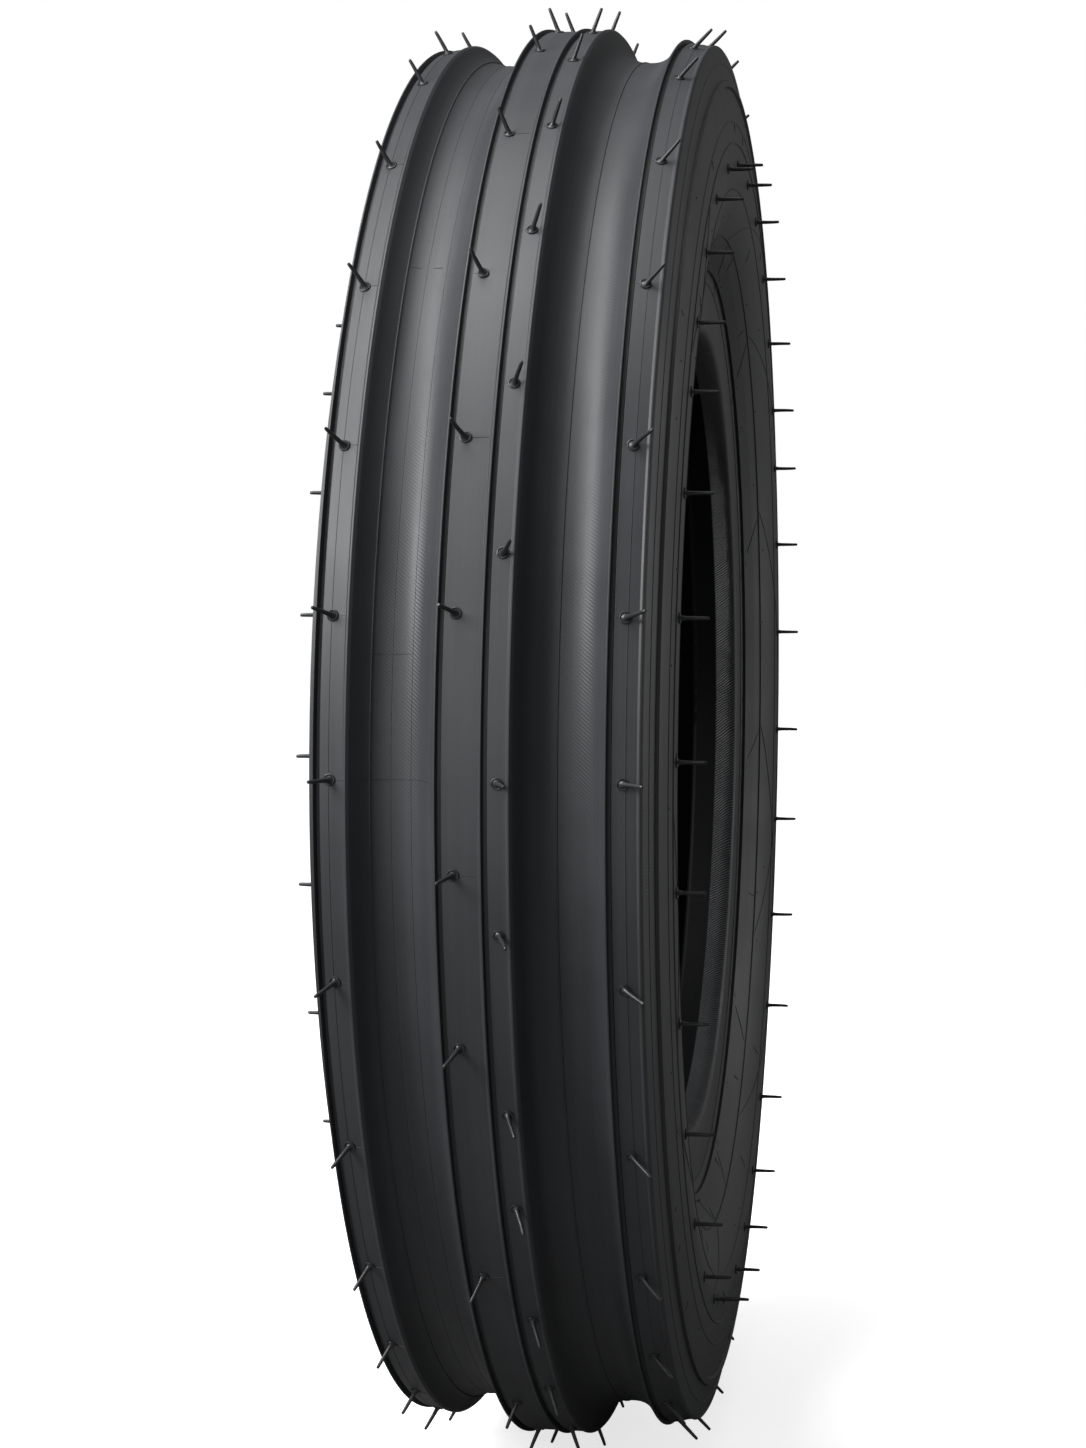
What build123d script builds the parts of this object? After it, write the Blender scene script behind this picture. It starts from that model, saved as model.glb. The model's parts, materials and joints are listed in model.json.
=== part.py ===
from build123d import *
from math import acos, asin, atan2, cos, degrees, hypot, radians, sin, sqrt, tan
import os

os.makedirs("parts", exist_ok=True)

# A three-rib bias-ply tyre for the front wheel of a tractor, in millimetres.
# The wheel axis is Y, the origin is the middle of the wheel, and Z is up.
# Every ring is a section in the Y-Z plane, axial place then radius, turned round the axis.

# Overall sizes
crown_radius = 355.0
section_half_width = 75.0
bead_seat_radius = 202.8
bead_half_width = 57.15

# Tread: a raised centre rib, two wide round-bottomed grooves and two shoulder ribs
centre_rib_half_width = 15.4
groove_depth = 16.0
groove_side_run = 7.0
groove_flat = 4.0
shoulder_inset = 8.0
shoulder_rib_width = 14.5
shoulder_rib_drop = 6.4
shoulder_rib_fall = 2.6
tread_wing_depth = 21.0
tread_base_gauge = 1.8

# Each rib has a tall narrow lip at its left edge and a low one at its right edge,
# and the mould halves leave a ridge like the tall lip where they meet
lip_height = 1.3
lip_crest = 0.6
lip_run = 1.4
low_lip_height = 0.5
low_lip_run = 0.6
lip_round = 0.2
parting_place = 3.6
parting_root = 0.6

# Gauges of the layers
undertread_gauge = 1.5
ply_gauge = 1.1
liner_gauge = 1.5
sidewall_gauge = 4.0
flipper_gauge = 0.9
chafer_gauge = 1.5
cushion_gauge = 1.2

# Arcs of the casing line, which is the outer face of the outer carcass ply
crown_arc = 240.0
side_arc = 45.0
flank_fullness = 0.757
undertread_end_angle = 40.0
breaker_inset = 2.5
breaker_step = 6.0

# Bead: a bundle of wire turns, with a filler on top
bundle_width = 8.0
bundle_turns = 4
turn_height = 1.3
turn_gap = 0.2
bundle_corner = 0.6
bundle_inset = 6.95
turn_up_lean = 4.0
turn_up_straight = 5.0
turn_up_tail_inner = 2.0
turn_up_tail_outer = 5.0
flipper_rise_inner = 17.0
flipper_rise_outer = 13.0
filler_tail_gauge = 0.5
liner_foot = 8.0
toe_round = 2.5
heel_round = 6.5
chafer_top = 22.2
cushion_tip_angle = 15.0
flange_fillet = 14.0

# Raised rings on the sidewall: one that shows how the tyre sits in its rim, one below the tread
ring_height = 1.4
ring_width = 3.0
ring_side_run = 1.0
ring_root = 1.0
rim_ring_drop = 9.5
shoulder_ring_drop = 6.0

# Vent hairs: what is left in the mould's vents. Pulling off the mould halves leans them outwards
hair_length = 12.8
hair_foot_radius = 1.15
hair_tip_radius = 0.75
hair_sides = 6
hair_sweep = 20.0
centre_hair_lean = 22.0
left_hair_lean = 30.0
right_hair_lean = 46.0
centre_left_hair_place = -7.8
centre_right_hair_place = 10.4

# Where the hairs of each row stand, in degrees up from the front; the back half is the same
centre_left_hairs = (84, 75, 65, 49, 34, 21, 9, -8, -20, -40, -60, -72, -84)
centre_right_hairs = (84, 73, 62, 50, 38, 25, 13, -2, -12, -25, -33, -45, -56, -69, -84)
rib_hairs = (84, 72, 61, 47, 34, 21, 9, -2, -16, -29, -41, -52, -63, -73, -84)
sidewall_hairs = (84, 73, 61, 50, 40, 32, 22, 11, -1, -12, -24, -36, -49, -61, -72, -83)


def polar(centre, radius, angle):
    """The point at an angle, in degrees, on a circle of the section."""
    return (centre[0] + radius * cos(radians(angle)), centre[1] + radius * sin(radians(angle)))


def along(point, length, lean):
    """The point a length further out on a line that leans from the radial direction."""
    return (point[0] + length * sin(radians(lean)), point[1] + length * cos(radians(lean)))


def across(direction, point):
    """How far out a point lies, measured at an angle in degrees."""
    return point[0] * cos(radians(direction)) + point[1] * sin(radians(direction))


def crossing(first_normal, first_line, second_normal, second_line):
    """Where two lines of the section cross, each given by its normal and its distance."""
    a, b = cos(radians(first_normal)), sin(radians(first_normal))
    c, d = cos(radians(second_normal)), sin(radians(second_normal))
    span = a * d - b * c
    return ((first_line * d - second_line * b) / span, (second_line * a - first_line * c) / span)


# Sizes that follow: the edges of the ribs, and the casing line from the crown to the widest place
shoulder_rib_outer = section_half_width - shoulder_inset
shoulder_rib_inner = shoulder_rib_outer - shoulder_rib_width
shoulder_edge_radius = crown_radius - shoulder_rib_drop - shoulder_rib_fall
tread_floor = crown_radius - groove_depth
groove_middle = (centre_rib_half_width + shoulder_rib_inner) / 2
casing_sag = crown_arc - sqrt(crown_arc**2 - groove_middle**2)
undertread_depth = undertread_gauge + 2 * ply_gauge
casing_crown = tread_floor - tread_base_gauge - undertread_depth + casing_sag
casing_half_width = section_half_width - sidewall_gauge
crown_centre = (0.0, casing_crown - crown_arc)
side_centre_offset = casing_half_width - side_arc
shoulder_angle = degrees(asin(side_centre_offset / (crown_arc - side_arc)))
widest_radius = crown_centre[1] + (crown_arc - side_arc) * cos(radians(shoulder_angle))
side_centre = (side_centre_offset, widest_radius)

# The bead: every layer goes round the same two corner centres, each a gauge further out
liner_depth = 2 * ply_gauge
bore_depth = liner_depth + liner_gauge
corner_radius = bundle_corner + flipper_gauge
corner_rise = chafer_gauge + cushion_gauge + liner_depth + corner_radius
corner_height = bead_seat_radius + corner_rise
outer_corner = (bead_half_width - bundle_inset, corner_height)
bundle_inner_side = outer_corner[0] - bundle_width
bundle_foot = corner_height - bundle_corner
bundle_height = bundle_turns * turn_height + (bundle_turns - 1) * turn_gap

# The fullest flank would be one arc, from the widest place to the bundle's cover
bundle_inset_run = casing_half_width - bundle_inner_side
bundle_drop = widest_radius - bundle_foot - bundle_height
fullest_arc = (bundle_inset_run**2 + bundle_drop**2 - corner_radius**2) / (
    2 * (bundle_inset_run + corner_radius)
)
flank_arc = flank_fullness * fullest_arc
flank_centre = (casing_half_width - flank_arc, widest_radius)

# The straight flank touches the flank arc, and passes the bundle's inner top edge with its cover
reach = (bundle_inner_side - flank_centre[0], -bundle_drop)
flank_turn = degrees(acos((flank_arc + corner_radius) / hypot(*reach)))
flank_lean = -degrees(atan2(reach[1], reach[0])) - flank_turn
flank_normal = -flank_lean
flank_line = across(flank_normal, flank_centre) + flank_arc
inner_corner = crossing(flank_normal, flank_line + corner_radius, 90, corner_height)
chafer_end = bead_seat_radius + chafer_top

# The turned-up plies leave the bead nearly upright, then bend over to lie on the flank
turn_up_normal = -turn_up_lean
turn_up_line = across(turn_up_normal, outer_corner) + corner_radius
tail_line = flank_line + filler_tail_gauge
lines_meet = crossing(flank_normal, tail_line, turn_up_normal, turn_up_line)
bend_start = crossing(turn_up_normal, turn_up_line, 90, chafer_end + turn_up_straight)
bend_run = across(90 - turn_up_lean, lines_meet) - across(90 - turn_up_lean, bend_start)
turn_up_bend = bend_run / tan(radians((flank_lean - turn_up_lean) / 2))
bend_centre = crossing(
    flank_normal, tail_line + turn_up_bend, turn_up_normal, turn_up_line + turn_up_bend
)
filler_tip = along(
    polar(bend_centre, turn_up_bend, 180 - flank_lean), turn_up_tail_outer, flank_lean
)
flange_centre = crossing(
    flank_normal, flank_line + sidewall_gauge + flange_fillet, 0, bead_half_width + flange_fillet
)
heel_centre = (bead_half_width - heel_round, bead_seat_radius + heel_round)
toe_centre = crossing(
    flank_normal, flank_line - bore_depth + toe_round, 90, bead_seat_radius + toe_round
)

# The outer wall, one flat arc from the shoulder rib's edge to the widest place
wall_rise = shoulder_edge_radius - widest_radius
wall_run = section_half_width - shoulder_rib_outer
wall_arc = (wall_rise**2 + wall_run**2) / (2 * wall_run)
wall_centre = (section_half_width - wall_arc, widest_radius)
wing_angle = degrees(asin((crown_radius - tread_wing_depth - widest_radius) / wall_arc))
wing_point = polar(wall_centre, wall_arc, wing_angle)


def main_run(depth, foot):
    """One face of a layer, from the middle plane over the shoulder and down to the bead."""
    crown = CenterArc(crown_centre, crown_arc - depth, 90, -shoulder_angle)
    CenterArc(side_centre, side_arc - depth, 90 - shoulder_angle, shoulder_angle - 90)
    flank = CenterArc(flank_centre, flank_arc - depth, 0, -flank_lean)
    straight = Line(flank @ 1, bead_point(depth, foot))
    return crown @ 0, straight @ 1


def bead_point(depth, foot):
    """A point on the straight flank, a length above the inner bead corner."""
    return along(polar(inner_corner, corner_radius + depth, 180 - flank_lean), foot, flank_lean)


def outer_point(depth, rise):
    """A point on the turned-up side, a length above the outer bead corner."""
    return along(polar(outer_corner, corner_radius + depth, -turn_up_lean), rise, turn_up_lean)


def bead_wrap(depth):
    """One face of a layer where it goes round the foot of the bead."""
    inner = CenterArc(inner_corner, corner_radius + depth, 180 - flank_lean, 90 + flank_lean)
    outer = CenterArc(outer_corner, corner_radius + depth, 270, 90 - turn_up_lean)
    Line(inner @ 1, outer @ 0)
    return inner @ 0, outer @ 1


def turn_up(depth, tail):
    """One face of a layer from the bead's outer corner to the end of its turn-up."""
    bend = CenterArc(
        bend_centre, turn_up_bend - depth, 180 - turn_up_lean, turn_up_lean - flank_lean
    )
    Line(outer_point(depth, 0), bend @ 0)
    contact = polar(bend_centre, turn_up_bend - depth, 180 - flank_lean)
    end = Line(contact, along(contact, tail, flank_lean))
    return end @ 1


def ply_face(depth, tail):
    """One face of a carcass ply, from the middle plane to the end of its turn-up."""
    start, _ = main_run(depth, 0)
    bead_wrap(depth)
    return start, turn_up(depth, tail)


def shoulder_run(depth, end_angle):
    """One face of a layer over the crown and part of the shoulder."""
    crown = CenterArc(crown_centre, crown_arc - depth, 90, -shoulder_angle)
    side = CenterArc(
        side_centre, side_arc - depth, 90 - shoulder_angle, end_angle + shoulder_angle - 90
    )
    return crown @ 0, side @ 1


def breaker_angle(half_width, depth):
    """The place on the shoulder arc where a breaker of this half width ends."""
    return degrees(acos((half_width - side_centre[0]) / (side_arc - depth)))


# Carcass: two plies of cord fabric, each turned up round the bead bundles
with BuildPart() as carcass_ply_outer:
    with BuildSketch(Plane.YZ) as outer_ply_section:
        with BuildLine():
            face_start, face_end = ply_face(0, turn_up_tail_outer)
            back_start, back_end = ply_face(ply_gauge, turn_up_tail_outer)
            Line(face_start, back_start)
            Line(face_end, back_end)
        make_face()
        mirror(about=Plane.YZ)
    revolve(axis=Axis.Y)

with BuildPart() as carcass_ply_inner:
    with BuildSketch(Plane.YZ) as inner_ply_section:
        with BuildLine():
            face_start, face_end = ply_face(ply_gauge, turn_up_tail_inner)
            back_start, back_end = ply_face(2 * ply_gauge, turn_up_tail_inner)
            Line(face_start, back_start)
            Line(face_end, back_end)
        make_face()
        mirror(about=Plane.YZ)
    revolve(axis=Axis.Y)

with BuildPart() as inner_liner:
    with BuildSketch(Plane.YZ):
        with BuildLine():
            face_start, face_end = main_run(liner_depth, liner_foot)
            back_start, back_end = main_run(bore_depth, liner_foot)
            Line(face_start, back_start)
            Line(face_end, back_end)
        make_face()
        mirror(about=Plane.YZ)
    revolve(axis=Axis.Y)

# Breakers: two narrow plies under the tread, the outer one the narrower
with BuildPart() as breaker_inner:
    with BuildSketch(Plane.YZ) as inner_breaker_section:
        with BuildLine():
            end_angle = breaker_angle(shoulder_rib_inner - breaker_inset, 0)
            face_start, face_end = shoulder_run(-ply_gauge, end_angle)
            back_start, back_end = shoulder_run(0, end_angle)
            Line(face_start, back_start)
            Line(face_end, back_end)
        make_face()
        mirror(about=Plane.YZ)
    revolve(axis=Axis.Y)

with BuildPart() as breaker_outer:
    with BuildSketch(Plane.YZ) as outer_breaker_section:
        with BuildLine():
            outer_half_width = shoulder_rib_inner - breaker_inset - breaker_step
            end_angle = breaker_angle(outer_half_width, -ply_gauge)
            face_start, face_end = shoulder_run(-2 * ply_gauge, end_angle)
            back_start, back_end = shoulder_run(-ply_gauge, end_angle)
            Line(face_start, back_start)
            Line(face_end, back_end)
        make_face()
        mirror(about=Plane.YZ)
    revolve(axis=Axis.Y)

with BuildPart() as undertread:
    with BuildSketch(Plane.YZ):
        with BuildLine():
            face_start, face_end = shoulder_run(-undertread_depth, undertread_end_angle)
            back_start, back_end = shoulder_run(0, undertread_end_angle)
            Line(face_start, back_start)
            Line(face_end, back_end)
        make_face()
        mirror(about=Plane.YZ)
        add(inner_breaker_section.sketch_local, mode=Mode.SUBTRACT)
        add(outer_breaker_section.sketch_local, mode=Mode.SUBTRACT)
    revolve(axis=Axis.Y)

def rib(left_edge, right_edge):
    """The corners of one rib's face: a tall lip at its left edge and a low one at its right."""
    face_angle = degrees(atan2(right_edge[1] - left_edge[1], right_edge[0] - left_edge[0]))
    corners = [polar(left_edge, lip_height, face_angle + 90)]
    crest = polar(left_edge, lip_crest, face_angle)
    corners.append(polar(crest, lip_height, face_angle + 90))
    corners.append(polar(crest, lip_run, face_angle))
    crest = polar(right_edge, -lip_crest, face_angle)
    corners.append(polar(crest, -low_lip_run, face_angle))
    corners.append(polar(crest, low_lip_height, face_angle + 90))
    corners.append(polar(right_edge, low_lip_height, face_angle + 90))
    return corners


# Tread: the three ribs, whose shoulders reach down over the edge of the undertread
inner_edge_radius = crown_radius - shoulder_rib_drop
groove_start = centre_rib_half_width + groove_side_run
groove_end = shoulder_rib_inner - groove_side_run
rib_rounds = [lip_round] * 6

# The foot rounds of a groove leave a narrow flat floor between them
centre_side_turn = atan2(groove_depth, groove_side_run)
shoulder_side_turn = atan2(groove_depth - shoulder_rib_drop, groove_side_run)
groove_foot_round = (groove_end - groove_start - groove_flat) / (
    tan(centre_side_turn / 2) + tan(shoulder_side_turn / 2)
)
groove_rounds = [groove_foot_round] * 2

with BuildPart() as tread_cap:
    with BuildSketch(Plane.YZ):
        with BuildLine():
            _, base_end = shoulder_run(-undertread_depth, undertread_end_angle)
            mirror(about=Plane.YZ)
            ribs = FilletPolyline(
                (-wing_point[0], wing_point[1]),
                *rib(
                    (-shoulder_rib_outer, shoulder_edge_radius),
                    (-shoulder_rib_inner, inner_edge_radius),
                ),
                (-groove_end, tread_floor),
                (-groove_start, tread_floor),
                *rib((-centre_rib_half_width, crown_radius), (centre_rib_half_width, crown_radius)),
                (groove_start, tread_floor),
                (groove_end, tread_floor),
                *rib(
                    (shoulder_rib_inner, inner_edge_radius),
                    (shoulder_rib_outer, shoulder_edge_radius),
                ),
                wing_point,
                radius=rib_rounds + groove_rounds + rib_rounds + groove_rounds + rib_rounds,
            )
            Line(ribs @ 0, (-base_end.X, base_end.Y))
            Line(ribs @ 1, base_end)
        make_face()
        with Locations((parting_place, crown_radius - parting_root)):
            Trapezoid(
                lip_crest + 2 * lip_run,
                lip_height + parting_root,
                degrees(atan2(lip_height + parting_root, lip_run)),
                align=(Align.CENTER, Align.MIN),
            )
    revolve(axis=Axis.Y)


def ring_section(place, normal):
    """The section of a raised ring that stands on the sidewall, square to it."""
    height = ring_height + ring_root
    foot = polar(place, (ring_height - ring_root) / 2, normal)
    with BuildSketch(mode=Mode.PRIVATE) as ring:
        with Locations(Location((*foot, 0), (0, 0, normal - 90))):
            Trapezoid(
                ring_width + 2 * ring_side_run, height, degrees(atan2(height, ring_side_run))
            )
    return ring.sketch


flank_outer_arc = flank_arc + sidewall_gauge
flank_outer_end = polar(flank_centre, flank_outer_arc, flank_normal)
rim_ring_place = along(flank_outer_end, -rim_ring_drop, flank_lean)
shoulder_ring_angle = wing_angle - degrees(shoulder_ring_drop / wall_arc)
shoulder_ring_place = polar(wall_centre, wall_arc, shoulder_ring_angle)

# Sidewalls: rubber from the edge of the tread down to the top of the chafer
with BuildPart() as sidewall_right:
    with BuildSketch(Plane.YZ):
        with BuildLine():
            wall = CenterArc(wall_centre, wall_arc, wing_angle, -wing_angle)
            flank = CenterArc(flank_centre, flank_outer_arc, 0, -flank_lean)
            hollow = CenterArc(flange_centre, flange_fillet, 180 - flank_lean, flank_lean)
            Line(flank @ 1, hollow @ 0)
            bead_face = Line(hollow @ 1, (bead_half_width, chafer_end))
            turn_up_foot = crossing(turn_up_normal, turn_up_line, 90, chafer_end)
            bend = CenterArc(
                bend_centre, turn_up_bend, 180 - turn_up_lean, turn_up_lean - flank_lean
            )
            Line(bead_face @ 1, turn_up_foot)
            Line(turn_up_foot, bend @ 0)
            tail = Line(bend @ 1, filler_tip)
            inner_flank = CenterArc(flank_centre, flank_arc, 0, -flank_lean)
            step = Line(tail @ 1, polar(filler_tip, -filler_tail_gauge, flank_normal))
            Line(step @ 1, inner_flank @ 1)
            inner_side = CenterArc(side_centre, side_arc, 0, undertread_end_angle)
            under = Line(
                inner_side @ 1,
                polar(side_centre, side_arc + undertread_depth, undertread_end_angle),
            )
            Line(under @ 1, wing_point)
        make_face()
        add(outer_ply_section.sketch_local, mode=Mode.SUBTRACT)
        add(inner_ply_section.sketch_local, mode=Mode.SUBTRACT)
        add(ring_section(rim_ring_place, flank_normal))
        add(ring_section(shoulder_ring_place, shoulder_ring_angle))
    revolve(axis=Axis.Y)

with BuildPart() as sidewall_left:
    mirror(sidewall_right.part, about=Plane.XZ)

# Bead bundles: turns of wire tape, one on the other
with BuildPart() as bead_bundle_right:
    for turn in range(bundle_turns):
        with BuildSketch(Plane.YZ):
            turn_foot = bundle_foot + turn * (turn_height + turn_gap)
            with Locations((bundle_inner_side + bundle_width / 2, turn_foot + turn_height / 2)):
                Rectangle(bundle_width, turn_height)
        revolve(axis=Axis.Y)

with BuildPart() as bead_bundle_left:
    mirror(bead_bundle_right.part, about=Plane.XZ)

# Flippers: a strip of fabric round each bundle
with BuildPart() as flipper_right:
    with BuildSketch(Plane.YZ) as flipper_section:
        with BuildLine():
            for depth in (0, -flipper_gauge):
                inner_foot, outer_foot = bead_wrap(depth)
                Line(inner_foot, bead_point(depth, flipper_rise_inner))
                Line(outer_foot, outer_point(depth, flipper_rise_outer))
            Line(
                bead_point(0, flipper_rise_inner), bead_point(-flipper_gauge, flipper_rise_inner)
            )
            Line(
                outer_point(0, flipper_rise_outer), outer_point(-flipper_gauge, flipper_rise_outer)
            )
        make_face()
    revolve(axis=Axis.Y)

with BuildPart() as flipper_left:
    mirror(flipper_right.part, about=Plane.XZ)

# Fillers: a rubber wedge over each bundle, between the carcass and its turn-up
with BuildPart() as bead_filler_right:
    with BuildSketch(Plane.YZ):
        with BuildLine():
            inner_foot, outer_foot = bead_wrap(0)
            bend = CenterArc(
                bend_centre, turn_up_bend, 180 - turn_up_lean, turn_up_lean - flank_lean
            )
            Line(outer_foot, bend @ 0)
            tail = Line(bend @ 1, filler_tip)
            tip = Line(tail @ 1, polar(filler_tip, -filler_tail_gauge, flank_normal))
            Line(tip @ 1, inner_foot)
        make_face()
        add(flipper_section.sketch_local, mode=Mode.SUBTRACT)
        with Locations((bundle_inner_side + bundle_width / 2, bundle_foot + bundle_height / 2)):
            Rectangle(bundle_width, bundle_height, mode=Mode.SUBTRACT)
    revolve(axis=Axis.Y)

with BuildPart() as bead_filler_left:
    mirror(bead_filler_right.part, about=Plane.XZ)


def bead_edge(depth):
    """One face of the chafer: down the inner flank, round the toe, along the seat and up."""
    toe = CenterArc(toe_centre, toe_round - depth, 180 - flank_lean, 90 + flank_lean)
    heel = CenterArc(heel_centre, heel_round - depth, 270, 90)
    start = Line(bead_point(bore_depth - depth, liner_foot), toe @ 0)
    Line(toe @ 1, heel @ 0)
    end = Line(heel @ 1, (bead_half_width - depth, chafer_end))
    return start @ 0, end @ 1


# Chafers: cord fabric over each bead, and the seat that the rim fits
with BuildPart() as chafer_right:
    with BuildSketch(Plane.YZ):
        with BuildLine():
            face_start, face_end = bead_edge(0)
            back_start, back_end = bead_edge(chafer_gauge)
            Line(face_start, back_start)
            Line(face_end, back_end)
        make_face()
    revolve(axis=Axis.Y)

with BuildPart() as chafer_left:
    mirror(chafer_right.part, about=Plane.XZ)

# Cushions: the rubber between the turned-up plies and the chafer
with BuildPart() as rim_cushion_right:
    with BuildSketch(Plane.YZ):
        with BuildLine():
            ply_corner = corner_radius + liner_depth
            inner = CenterArc(
                inner_corner,
                ply_corner,
                180 - flank_lean + cushion_tip_angle,
                90 + flank_lean - cushion_tip_angle,
            )
            outer = CenterArc(outer_corner, ply_corner, 270, 90 - turn_up_lean)
            Line(inner @ 1, outer @ 0)
            turn_up_end = crossing(
                turn_up_normal, turn_up_line + liner_depth, 90, chafer_end
            )
            Line(outer @ 1, turn_up_end)
            heel = CenterArc(heel_centre, heel_round - chafer_gauge, 270, 90)
            rise = Line(heel @ 1, (bead_half_width - chafer_gauge, chafer_end))
            Line(rise @ 1, turn_up_end)
            toe = CenterArc(toe_centre, toe_round - chafer_gauge, 180 - flank_lean, 90 + flank_lean)
            Line(toe @ 1, heel @ 0)
            tip_drop = ply_corner * sin(radians(cushion_tip_angle))
            tip = Line(inner @ 0, bead_point(liner_depth, -tip_drop))
            Line(tip @ 1, toe @ 0)
        make_face()
    revolve(axis=Axis.Y)

with BuildPart() as rim_cushion_left:
    mirror(rim_cushion_right.part, about=Plane.XZ)


def leaning(lean, turn):
    """The direction that leans from the radius towards +Y, at a turn round the wheel axis."""
    outward = cos(radians(lean))
    return Vector(
        outward * cos(radians(turn)), sin(radians(lean)), outward * sin(radians(turn))
    )


def hair_at(axial, radius, face_lean, lean, sweep, turn):
    """One tapered hair: its foot lies flat on the rubber, and its tip leans and sweeps."""
    around = leaning(0, turn + 90)
    normal = leaning(face_lean, turn)
    foot = leaning(0, turn) * radius + Vector(0, axial, 0)
    swept = radians(sweep * sin(radians(2 * turn)))
    tip = foot + (leaning(lean, turn) * cos(swept) + around * sin(swept)) * hair_length
    with BuildSketch(Plane(origin=foot, x_dir=around, z_dir=normal)) as hair_foot:
        RegularPolygon(hair_foot_radius, hair_sides)
    with BuildSketch(Plane(origin=tip, x_dir=around, z_dir=normal)) as hair_tip:
        RegularPolygon(hair_tip_radius, hair_sides)
    loft([hair_foot.sketch.face(), hair_tip.sketch.face()])


def hair_row(axial, radius, face_lean, lean, sweep, turns):
    """The hairs of one row, over the front half and again over the back half."""
    for turn in turns:
        hair_at(axial, radius, face_lean, lean, sweep, turn)
        hair_at(axial, radius, face_lean, lean, sweep, 180 - turn)


shoulder_middle = (shoulder_rib_inner + shoulder_rib_outer) / 2
shoulder_middle_radius = shoulder_edge_radius + shoulder_rib_fall / 2
shoulder_lean = degrees(atan2(shoulder_rib_fall, shoulder_rib_width))

with BuildPart() as vent_hairs_centre_rib:
    hair_row(
        centre_left_hair_place, crown_radius, 0, -centre_hair_lean, hair_sweep, centre_left_hairs
    )
    hair_row(
        centre_right_hair_place, crown_radius, 0, centre_hair_lean, hair_sweep, centre_right_hairs
    )

with BuildPart() as vent_hairs_rib_right:
    hair_row(
        shoulder_middle,
        shoulder_middle_radius,
        shoulder_lean,
        right_hair_lean,
        hair_sweep,
        rib_hairs,
    )

with BuildPart() as vent_hairs_rib_left:
    hair_row(
        -shoulder_middle,
        shoulder_middle_radius,
        -shoulder_lean,
        -left_hair_lean,
        hair_sweep,
        rib_hairs,
    )

with BuildPart() as vent_hairs_sidewall_right:
    hair_row(section_half_width, widest_radius, 90, 90, 0, sidewall_hairs)

with BuildPart() as vent_hairs_sidewall_left:
    mirror(vent_hairs_sidewall_right.part, about=Plane.XZ)

pieces = {
    "tread_cap": tread_cap,
    "undertread": undertread,
    "breaker_outer": breaker_outer,
    "breaker_inner": breaker_inner,
    "carcass_ply_outer": carcass_ply_outer,
    "carcass_ply_inner": carcass_ply_inner,
    "inner_liner": inner_liner,
    "sidewall_left": sidewall_left,
    "sidewall_right": sidewall_right,
    "bead_bundle_left": bead_bundle_left,
    "bead_bundle_right": bead_bundle_right,
    "bead_filler_left": bead_filler_left,
    "bead_filler_right": bead_filler_right,
    "flipper_left": flipper_left,
    "flipper_right": flipper_right,
    "rim_cushion_left": rim_cushion_left,
    "rim_cushion_right": rim_cushion_right,
    "chafer_left": chafer_left,
    "chafer_right": chafer_right,
    "vent_hairs_centre_rib": vent_hairs_centre_rib,
    "vent_hairs_rib_left": vent_hairs_rib_left,
    "vent_hairs_rib_right": vent_hairs_rib_right,
    "vent_hairs_sidewall_left": vent_hairs_sidewall_left,
    "vent_hairs_sidewall_right": vent_hairs_sidewall_right,
}
for name, piece in pieces.items():
    piece.part.label = name
    export_step(piece.part, f"parts/{name}.step")
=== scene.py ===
import json
from math import atan2, ceil, cos, pi, radians, sin, tan
from random import Random

import bmesh
import bpy
from mathutils import Matrix, Vector
from mathutils.bvhtree import BVHTree


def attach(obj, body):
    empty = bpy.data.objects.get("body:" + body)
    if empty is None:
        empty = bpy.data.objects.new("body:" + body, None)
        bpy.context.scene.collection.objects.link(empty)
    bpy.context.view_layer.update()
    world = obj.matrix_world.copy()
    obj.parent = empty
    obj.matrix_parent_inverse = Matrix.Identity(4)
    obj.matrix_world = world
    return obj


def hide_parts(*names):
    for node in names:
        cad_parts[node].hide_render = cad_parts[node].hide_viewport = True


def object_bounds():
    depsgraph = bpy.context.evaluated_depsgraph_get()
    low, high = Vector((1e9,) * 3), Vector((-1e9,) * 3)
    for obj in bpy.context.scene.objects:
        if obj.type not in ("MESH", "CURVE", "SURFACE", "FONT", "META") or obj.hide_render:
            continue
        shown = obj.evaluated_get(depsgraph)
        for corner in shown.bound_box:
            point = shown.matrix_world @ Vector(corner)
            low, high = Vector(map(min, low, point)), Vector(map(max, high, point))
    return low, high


# A three-rib front tyre. The wheel axis is Y, and the camera stands near +X.
# Outlines are in millimetres, as (place along the axis, radius); meshes are in metres.
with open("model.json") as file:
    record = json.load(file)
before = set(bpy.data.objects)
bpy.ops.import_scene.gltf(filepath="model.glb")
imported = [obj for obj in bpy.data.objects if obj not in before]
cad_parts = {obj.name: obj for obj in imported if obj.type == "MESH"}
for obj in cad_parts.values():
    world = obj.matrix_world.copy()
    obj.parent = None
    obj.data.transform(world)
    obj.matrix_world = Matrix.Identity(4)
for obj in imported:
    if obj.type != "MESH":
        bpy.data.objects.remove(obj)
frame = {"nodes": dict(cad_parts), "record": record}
cad_low, cad_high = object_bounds()
nodes = frame["nodes"]
mm = 0.001

# Tread
crown_radius = 355.0
tread_floor = 339.0
centre_rib_half_width = 15.4
groove_side_run = 7.0
groove_foot_round = 16.0
shoulder_rib_inner = 52.5
shoulder_rib_outer = 67.0
shoulder_rib_drop = 6.4
shoulder_rib_fall = 2.6

# From a rib's left edge along its face: the tall lip, then the channel beside it
lip_height = 1.3
lip_crest = 0.7
channel_start = 1.0
channel_end = 2.8
channel_brim = 3.05
channel_depth = 1.7
tall_lip_corners = 5

# Back from its right edge: the low lip. Past the edge the groove's side begins
low_lip_height = 0.65
low_lip_foot = 1.7
low_lip_start = 0.9
low_lip_end = 0.2
edge_run = 0.9
edge_drop = 0.5

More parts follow.
